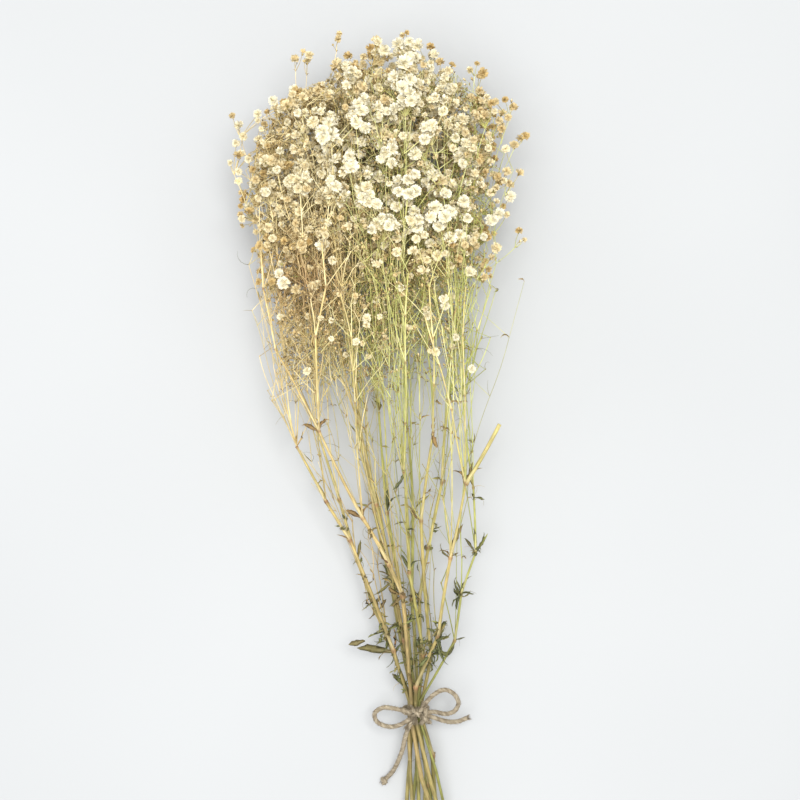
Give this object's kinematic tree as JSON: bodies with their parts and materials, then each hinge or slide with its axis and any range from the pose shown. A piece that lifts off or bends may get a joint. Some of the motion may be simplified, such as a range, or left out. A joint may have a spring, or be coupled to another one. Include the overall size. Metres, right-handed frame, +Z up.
{
  "type": "dried baby's breath bunch",
  "caption": "Dried baby's breath bunch lying on its side: thin forking straw stems with small cream blossoms, gathered near the cut ends by a bow of jute twine.",
  "frame": {"origin": "on the surface that the bunch lies on, under the middle of its box", "axes": "+Y along the bunch towards its blossoms, -Y towards the cut ends, +Z up from the surface, +X to the right seen from above with the blossoms at the top"},
  "size_m": [0.2294, 0.6233, 0.1324],
  "materials": {
    "dried_spray": "matt dried plant, straw stems and cream blossoms",
    "jute": "matt, hairy, loosely twisted jute"
  },
  "bodies": {
    "root": {"spray_left": "dried_spray", "spray_front_left": "dried_spray", "spray_inner_left": "dried_spray", "spray_back_left": "dried_spray", "spray_middle": "dried_spray", "spray_front": "dried_spray", "spray_inner_right": "dried_spray", "spray_front_right": "dried_spray", "spray_right": "dried_spray", "spray_back_right": "dried_spray", "spray_back_middle": "dried_spray", "spray_back": "dried_spray", "twine_tie": "jute"}
  },
  "joints": []
}
